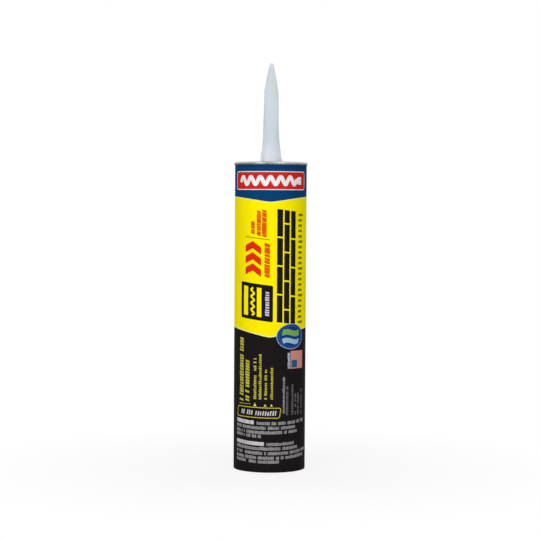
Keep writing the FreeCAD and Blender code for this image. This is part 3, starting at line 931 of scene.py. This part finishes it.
def bake_place(u, z, part, depth):
    """Where a corner lies in the bake: the print, its paper back, and four strips of edge."""
    across, up = (u + LABEL_LENGTH / 2) / BAKE_TALL, (z - LABEL_FOOT) / BAKE_TALL
    if part == "print":
        return across, up
    if part == "paper":
        return PAPER_LEFT + PAPER_SQUEEZE * across, up
    strip = EDGE_STRIPS[part] + EDGE_WIDTH * depth
    return (across, strip) if part in ("foot", "head") else (strip, up)


# %% Make the label
def make_label():
    """The wrapped sheet, closed: print outside, paper inside, and the cut edge between them."""
    count = len(sheet_corners)
    front = [[int(i) for i in triangle] for triangle in sheet_triangles]
    back = [[i + count for i in reversed(triangle)] for triangle in front]
    rim = [[b, a, a + count, b + count] for a, b in sheet_edges(front)]
    mesh = bpy.data.meshes.new("label_wrap")
    mesh.from_pydata([wrapped(corner, inset) for inset in (0.0, LABEL_THICKNESS)
                      for corner in sheet_corners], [], front + back + rim)
    mesh.attributes.new("ink", "FLOAT_COLOR", "CORNER")
    mesh.uv_layers.new(name="unrolled")
    mesh.uv_layers.new(name="OFBake")
    # a new layer can move the others in memory, so each is fetched once all of them exist
    ink_layer = mesh.attributes["ink"].data
    unrolled, baked = (mesh.uv_layers[name].data for name in ("unrolled", "OFBake"))
    for face in mesh.polygons:
        printed, is_rim = face.index < len(front), face.index >= 2 * len(front)
        ink = drawing[sheet_inks[face.index]][0] if printed else "paper"
        part = "print" if printed else "paper"
        if is_rim:
            part = side_of(*(sheet_corners[i % count] for i in face.vertices[:2]))
        for loop in face.loop_indices:
            depth, corner = divmod(mesh.loops[loop].vertex_index, count)
            u, z = sheet_corners[corner]
            ink_layer[loop].color = INK_LIGHT[ink]
            unrolled[loop].uv = (u * MM, z * MM)
            baked[loop].uv = bake_place(u, z, part, depth)
        face.use_smooth = not is_rim
        face.material_index = 0 if printed else 1
    print("label:", len(mesh.polygons), "faces,", len(rim), "of them edge")
    return new_object("label_wrap", mesh)


# %% [markdown]
# ## Varnished print
#
# The ink lies under a thin varnish. The colour comes from the mesh, with a little unevenness
# as any print has. Under raking light the sheet shows the fibres of the paper and, faintly,
# the spiral joints of the board below it, so both go into the bump, at their real scale.

# %% Label finish
SPIRAL_PITCH = 0.078          # metres of height for one turn of the board's plies
SPIRAL_JOINT = 0.02           # share of a turn over which a joint fades


def label_finish():
    finish = Finish("varnished_print")
    ink = finish.node("Attribute", attribute_name="ink").outputs["Color"]
    cloud = finish.noise(90.0, 4.0)
    u, z, _ = finish.node("SeparateXYZ", {0: finish.first("UVMap", uv_map="unrolled")}).outputs
    turns = finish.math("ADD", finish.math("DIVIDE", u, LABEL_LENGTH * MM),
                        finish.math("DIVIDE", z, SPIRAL_PITCH))
    ridge = finish.math("ABSOLUTE", finish.math("SUBTRACT", finish.math("FRACT", turns), 0.5))
    seam = finish.between(ridge, 1.0, 0.0, 0.0, SPIRAL_JOINT, interpolation_type="SMOOTHSTEP")
    fibre = finish.bump(finish.noise(1400.0, 2.0), 0.000012, Normal=finish.bump(seam, 0.00006))
    return finish.shade(Base_Color=finish.uneven(ink, cloud, 0.965, 1.03), Specular_IOR_Level=0.02,
                        Roughness=finish.between(cloud, 0.62, 0.72),
                        Normal=finish.bump(finish.noise(60.0, 2.0), 0.00012, Normal=fibre))


def paper_finish():
    return Finish("paper_back").plain(900.0, 4.0, (196, 186, 164), (224, 216, 198), (0.8, 0.95), 0.00003)


label = make_label()
label.data.materials.append(label_finish())
label.data.materials.append(paper_finish())
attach(label, "cartridge")
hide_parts("label_yellow", "label_black", "label_blue", "label_red")
print("label wears", ", ".join(material.name for material in label.data.materials))

# %% [markdown]
# ## Board tube
#
# The tube is wound from strips of grey-brown board with a thin foil-faced ply inside. Its shape
# is right in the construction model, so it only needs its finish: the cut ends show the plies as
# thin rings, and the bore shows the liner with its spiral overlap.

# %% Tube finish
BORE_RADIUS, LINER_THICKNESS = 0.02348, 0.00004
PLY_PITCH, LINER_PITCH, LINER_LAP = 0.00031, 0.062, 0.035


def board_finish():
    finish = Finish("wound_board")
    radius, turn, height = finish.round_axis()
    fibre = finish.noise(700.0, 5.0)
    ply = finish.math("SINE", finish.math("MULTIPLY", radius, 2 * math.pi / PLY_PITCH))
    layered = finish.math("ADD", finish.math("MULTIPLY", ply, 0.16), fibre)
    board = finish.mottle(layered, (112, 92, 70), (176, 154, 122), 0.25, 0.75)
    inside = finish.math("LESS_THAN", radius, BORE_RADIUS + LINER_THICKNESS)
    winds = finish.math("FRACT", finish.math("ADD", finish.math("DIVIDE", turn, 2 * math.pi),
                                             finish.math("DIVIDE", height, LINER_PITCH)))
    lap = finish.between(winds, 1.0, 0.0, 0.0, LINER_LAP)
    foil = finish.mottle(finish.noise(240.0, 4.0), (150, 148, 142), (186, 184, 178))
    liner = finish.mix(lap, foil, linear(120, 116, 108))
    relief = finish.math("ADD", finish.math("MULTIPLY", fibre, 0.5), finish.math("MULTIPLY", lap, inside))
    return finish.shade(Base_Color=finish.mix(inside, board, liner), Normal=finish.bump(relief, 0.00008),
                        Metallic=finish.math("MULTIPLY", inside, 0.55),
                        Roughness=finish.between(inside, 0.88, 0.42))


def dress(node_name, material):
    """Gives a node of the construction model its finish."""
    mesh = frame["nodes"][node_name].data
    mesh.materials.clear()
    mesh.materials.append(material)
    print(node_name, "wears", material.name)


dress("tube", board_finish())

# %% [markdown]
# ## Steel end
#
# Tinplate is rolled in one direction and then drawn, so it is bright with a fine grain, and the
# crimp that grips the tube has faint upright marks from the tool's segments. Its edge is turned
# hard into the board, and the crimp's outside is painted darker towards that edge: painted shade
# and a painted dark reflection where the steel meets the board.

# %% Tinplate
CRIMP_LOW, CRIMP_HIGH = LABEL_TOP * MM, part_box("top_end")[1].z
CRIMP_MARKS = 72


def tinplate_finish():
    finish = Finish("tinplate")
    radius, turn, height = finish.round_axis()
    grain = finish.noise(260.0, 5.0, stretch=(1, 1, 14))
    cloud = finish.noise(55.0, 3.0)
    bright = finish.mottle(cloud, (188, 191, 192), (202, 204, 204))
    rise = finish.between(height, 0.0, 1.0, CRIMP_LOW, CRIMP_HIGH)
    # painted shade: the crimp's outside darkens from white to 0.2 towards its lower edge, where it meets
    # the board
    painted_shade = finish.ramp(finish.math("ADD", rise, finish.math("MULTIPLY", cloud, 0.1)),
                        [(0.1, (0.20, 0.19, 0.19, 1)), (0.5, (0.75, 0.74, 0.74, 1)), (0.9, WHITE)])
    outside = finish.math("GREATER_THAN", radius, BORE_RADIUS)
    colour = finish.mix(outside, bright, finish.mix(1.0, bright, painted_shade, "MULTIPLY"))
    marks = finish.bump(finish.math("SINE", finish.math("MULTIPLY", turn, CRIMP_MARKS)), 0.00001)
    return finish.shade(Base_Color=colour, Metallic=1.0, Roughness=finish.between(grain, 0.22, 0.32),
                        Normal=finish.bump(grain, 0.00001, Normal=marks))


def compound_finish():
    return Finish("sealing_compound").plain(500.0, 3.0, (128, 120, 104), (150, 142, 126), (0.5, 0.7),
                                            0.00005)


dress("top_end", tinplate_finish())
dress("seam_compound", compound_finish())

# %% [markdown]
# ## A lathe
#
# The nozzle and the adhesive are bodies of revolution: one outline, turned about the axis.
# Blender's Screw modifier would turn it, but in Geometry Nodes the rule can be read and changed:
# a grid has one row for each point of the outline and one column for each step round the axis,
# and every grid point takes its radius and height from the outline and its angle from its column.
# The outline comes in as the points of the mesh that the tree is put on.

# %% Lathe tree
PARTING_SHARPNESS = 4000.0    # how narrow the ridges of the mould's joint are
ON_AXIS = 1e-6                # nearer than this to the axis, in metres, a point is a pole
POLE_WELD = 1e-7
SHARP_DEG = 32


def lathe_tree():
    tree = MeshMaker("lathe", {"Segments": 96, "Parting line": 0.0})
    given, calc = tree.given, tree.math
    count = tree.node("GeometryNodeAttributeDomainSize", {0: given["Geometry"]}).outputs["Point Count"]
    grid = tree.first("GeometryNodeMeshGrid", {"Vertices X": calc("ADD", given["Segments"], 1.0),
                                               "Vertices Y": count})
    index = tree.first("GeometryNodeInputIndex")
    column = calc("FLOOR", calc("DIVIDE", calc("ADD", index, 0.5), count))
    row = calc("SUBTRACT", index, calc("MULTIPLY", column, count))
    place = tree.first("GeometryNodeInputPosition")
    point = tree.first("GeometryNodeSampleIndex", {"Geometry": given["Geometry"], "Value": place,
                                                   "Index": row}, data_type="FLOAT_VECTOR", domain="POINT")
    across, _, height = tree.node("SeparateXYZ", {0: point}).outputs
    turn = calc("MULTIPLY", calc("DIVIDE", column, given["Segments"]), 2 * math.pi)
    nearness = calc("POWER", calc("ABSOLUTE", calc("COSINE", turn)), PARTING_SHARPNESS)
    ridge = calc("MULTIPLY", calc("MULTIPLY", nearness, given["Parting line"]),
                 calc("GREATER_THAN", across, ON_AXIS))
    radius = calc("ADD", across, ridge)
    turned = tree.first("CombineXYZ", {"X": calc("MULTIPLY", radius, calc("COSINE", turn)),
                                       "Y": calc("MULTIPLY", radius, calc("SINE", turn)), "Z": height})
    placed = tree.first("GeometryNodeSetPosition", {"Geometry": grid, "Position": turned})
    closed = tree.first("GeometryNodeMergeByDistance", {"Geometry": placed, "Distance": POLE_WELD})
    smooth = tree.first("GeometryNodeSetShadeSmooth", {0: closed})
    tree.end(tree.first("GeometryNodeRealizeInstances", {0: smooth}))
    return tree


# %% Turned pieces
LATHE = lathe_tree()


def turned_piece(name, outline, material, segments=96, parting_line=0.0):
    """A plain closed mesh from an outline of (radius, height) points in millimetres."""
    mesh = bpy.data.meshes.new(name + "_outline")
    mesh.from_pydata([(radius * MM, 0, height * MM) for radius, height in outline], [], [])
    made = LATHE.make(mesh, {"Segments": segments, "Parting line": parting_line * MM,
                             "Material": material})
    made.name = name
    made.set_sharp_from_angle(angle=math.radians(SHARP_DEG))
    print(name, "turned:", len(made.polygons), "faces")
    return new_object(name, made)


print("lathe tree:", len(LATHE.tree.nodes), "nodes")

# %% [markdown]
# ## Nozzle
#
# The nozzle is one moulding in natural polythene: a flange that stays under the steel end, a neck
# in the collar, a flare, a long gentle taper and a pointed, closed tip that is cut off before use.
# Its passage is open from below. The outline runs up the passage and down the outside, and the
# curved stretches are eased between a few points that fix the shape.

# %% Nozzle sizes
NOZZLE_WALL = 1.35
FLANGE_RADIUS, FLANGE_THICKNESS = 12.4, 1.2
NECK_RADIUS, SHOULDER_RADIUS = 8.15, 8.6
FLARE_LENGTH, FLARE_MID_RADIUS, FLARE_TOP_RADIUS = 21.8, 6.6, 5.55
TAPER_LENGTH, TAPER_TOP_RADIUS = 30.0, 4.9
TIP_MID_LENGTH, TIP_MID_RADIUS, CONE_SLOPE, PASSAGE_SLOPE = 11.6, 2.9, -0.13, -0.2
TIP_RADIUS, TIP_ANGLE, TIP_PLUG = 1.3, math.radians(11.0), 5.0
TAPER_STEPS, TIP_STEPS, PASSAGE_STEPS, DOME_STEPS = 12, 14, 10, 10
NOZZLE_LENGTH = 72.0

NOZZLE_FOOT, NOZZLE_TIP = (corner.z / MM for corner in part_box("nozzle"))
SHOULDER = NOZZLE_TIP - NOZZLE_LENGTH
FLARE_TOP, TAPER_TOP = SHOULDER + FLARE_LENGTH, SHOULDER + FLARE_LENGTH + TAPER_LENGTH
TAPER_SLOPE = (TAPER_TOP_RADIUS - FLARE_TOP_RADIUS) / TAPER_LENGTH
print("nozzle from %.1f to %.1f mm, its shoulder at %.1f mm" % (NOZZLE_FOOT, NOZZLE_TIP, SHOULDER))


# %% Eased curves
def eased(points, start_slope, end_slope, steps=10):
    """A curve through (radius, height) points; slopes are radius over height at its two ends."""
    radii, heights = np.array(points).T
    spans = np.diff(heights)
    rises = np.diff(radii) / spans
    slopes = [start_slope, *((rises[:-1] * spans[1:] + rises[1:] * spans[:-1])
                             / (spans[:-1] + spans[1:])), end_slope]
    curve = []
    for i, span in enumerate(spans):
        for t in np.linspace(0, 1, steps, endpoint=i == len(spans) - 1):
            radius = ((2 * t**3 - 3 * t**2 + 1) * radii[i] + (t**3 - 2 * t**2 + t) * span * slopes[i]
                      + (3 * t**2 - 2 * t**3) * radii[i + 1] + (t**3 - t**2) * span * slopes[i + 1])
            curve.append((float(radius), float(heights[i] + span * t)))
    return curve


def flare(inset):
    """The foot's flare, set in from the outside by a wall."""
    slope = (FLARE_MID_RADIUS - SHOULDER_RADIUS) / (FLARE_LENGTH / 2)
    return eased([(SHOULDER_RADIUS - inset, SHOULDER),
                  (FLARE_MID_RADIUS - inset, SHOULDER + FLARE_LENGTH / 2),
                  (FLARE_TOP_RADIUS - inset, FLARE_TOP)], slope, TAPER_SLOPE)


def pointed_end(inset, end, start_slope, end_slope, steps):
    """From the taper's top to an end point, set in by a wall."""
    return eased([(TAPER_TOP_RADIUS - inset, TAPER_TOP),
                  (TIP_MID_RADIUS - inset, TAPER_TOP + TIP_MID_LENGTH), end], start_slope, end_slope, steps)


def dome_point(angle):
    """A point of the round tip, at an angle above its widest part."""
    return (TIP_RADIUS * math.cos(angle), NOZZLE_TIP - TIP_RADIUS + TIP_RADIUS * math.sin(angle))


# %% Whole outline
flare_outside, flare_inside = flare(0.0), flare(NOZZLE_WALL)
tip = pointed_end(0.0, dome_point(TIP_ANGLE), CONE_SLOPE, -math.tan(TIP_ANGLE), TIP_STEPS)
taper = [tuple(point) for point in np.linspace(flare_outside[-1], tip[0], TAPER_STEPS)[1:-1]]
dome = [dome_point(angle) for angle in np.linspace(TIP_ANGLE, math.pi / 2, DOME_STEPS)[1:-1]]
flange_top = NOZZLE_FOOT + FLANGE_THICKNESS
outside = [(FLANGE_RADIUS, NOZZLE_FOOT), (FLANGE_RADIUS, flange_top), (NECK_RADIUS, flange_top),
           (NECK_RADIUS, SHOULDER), *flare_outside, *taper, *tip, *dome, (0.0, NOZZLE_TIP)]
passage_end = NOZZLE_TIP - TIP_PLUG
passage_top = pointed_end(NOZZLE_WALL, (TIP_RADIUS / 2, passage_end), TAPER_SLOPE, PASSAGE_SLOPE,
                          PASSAGE_STEPS)
passage = [(0.0, passage_end), *passage_top[::-1], *flare_inside[::-1], (flare_inside[0][0], NOZZLE_FOOT)]
print("nozzle outline:", len(passage + outside), "points")

# %% [markdown]
# ## Polythene
#
# Natural polythene is milky and a little blue against white. Light creeps into it, so its shadow
# side stays pale, and its shine is soft and long, drawn out by the polish marks of the mould. The
# foot of the flare and the tip are painted paler than the taper: painted light, which lifts the
# foot out of the shade of the steel end and the flange, and brightens the tip.

# %% Polythene finish and the nozzle
NOZZLE_DEPTH, PLUNGER_DEPTH = 0.03, 0.0015    # how far light creeps in, in metres
# the paler foot (0 to 0.16) and tip (0.9 to 1) are painted light over the milky blue of the taper
NOZZLE_COLOURS_AND_PAINTED_LIGHT = (            # share of the height, display colour
    (0.0, (230, 238, 244)),
    (0.16, (211, 219, 227)),
    (0.24, (200, 209, 216)),
    (0.72, (200, 209, 216)),
    (0.9, (207, 216, 223)),
    (0.94, (212, 220, 227)),
    (0.97, (229, 235, 241)),
    (1.0, (253, 254, 255)),
)
PLUNGER_COLOURS = ((0.0, (222, 222, 216)), (1.0, (218, 218, 212)))
PARTING_LINE, NOZZLE_SEGMENTS = 0.04, 144


def polythene_finish(name, depth, foot, head, colours):
    """Milky plastic, whose colour, with any painted light in it, changes between the heights of its foot
    and its head.
    """
    finish = Finish(name)
    _, _, height = finish.round_axis()
    # the colours by height carry the nozzle's painted light: paler at the flare's foot and at the tip
    milk_and_painted_light = finish.ramp(finish.between(height, 0.0, 1.0, foot, head),
                       [(share, linear(*colour)) for share, colour in colours])
    drag = finish.noise(120.0, 3.0, stretch=(9, 9, 0.6))
    return finish.shade("BURLEY", Base_Color=finish.uneven(milk_and_painted_light, finish.noise(70.0, 3.0), 0.97, 1.03),
                        Subsurface_Weight=1.0, Subsurface_Radius=(1.0, 1.0, 1.0),
                        Subsurface_Scale=depth, Specular_IOR_Level=0.5,
                        Roughness=finish.between(drag, 0.10, 0.17), Normal=finish.bump(drag, 0.00001))


def foil_finish():
    return Finish("seal_foil").plain(320.0, 5.0, (196, 197, 198), (222, 222, 222), (0.25, 0.4), 0.00006,
                                     Metallic=1.0)


nozzle_plastic = polythene_finish("natural_polythene", NOZZLE_DEPTH, SHOULDER * MM, NOZZLE_TIP * MM,
                                  NOZZLE_COLOURS_AND_PAINTED_LIGHT)
nozzle = turned_piece("nozzle_moulding", passage + outside, nozzle_plastic, NOZZLE_SEGMENTS, PARTING_LINE)
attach(nozzle, "cartridge")
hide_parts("nozzle")
dress("plunger", polythene_finish("plunger_polythene", PLUNGER_DEPTH,
                                  *(corner.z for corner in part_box("plunger")), PLUNGER_COLOURS))
dress("nozzle_foil", foil_finish())

# %% [markdown]
# ## Adhesive
#
# The charge is a tan paste. It fills the bore, and when the plunger rises it goes out through
# the nozzle.

# %% Adhesive piece
RING_STEPS, RING_DEPTH, RING_TURN = 60, 0.02, 2.1            # the faint rings that filling leaves
SIDE_INSET, DIMPLE, CROWN_FALL = 0.03, 0.25, 0.1
END_STEPS, END_SHARE = 12, 0.98
charge_low, charge_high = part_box("adhesive")


def charge_outline():
    """The charge's outline: a dimpled foot, the side with its rings, and a nearly flat head."""
    foot, head, radius = charge_low.z / MM, charge_high.z / MM, charge_high.x / MM
    side = [(radius - SIDE_INSET + RING_DEPTH * math.sin(RING_TURN * i),
             foot + (head - foot) * i / RING_STEPS) for i in range(RING_STEPS + 1)]
    shares = np.linspace(0, END_SHARE, END_STEPS)
    dimple = [(radius * t, foot + DIMPLE * math.cos(t * math.pi / 2) ** 2) for t in shares]
    crown = [(radius * t, head - CROWN_FALL * (1 - t)) for t in shares[::-1]]
    return dimple + side + crown


def paste_finish():
    return Finish("tan_paste").plain(260.0, 4.0, (176, 152, 112), (196, 174, 134), (0.3, 0.5), 0.0001,
                                     Subsurface_Weight=0.1)


adhesive = turned_piece("adhesive_charge", charge_outline(), paste_finish())
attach(adhesive, "cartridge")
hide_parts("adhesive")
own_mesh(adhesive)
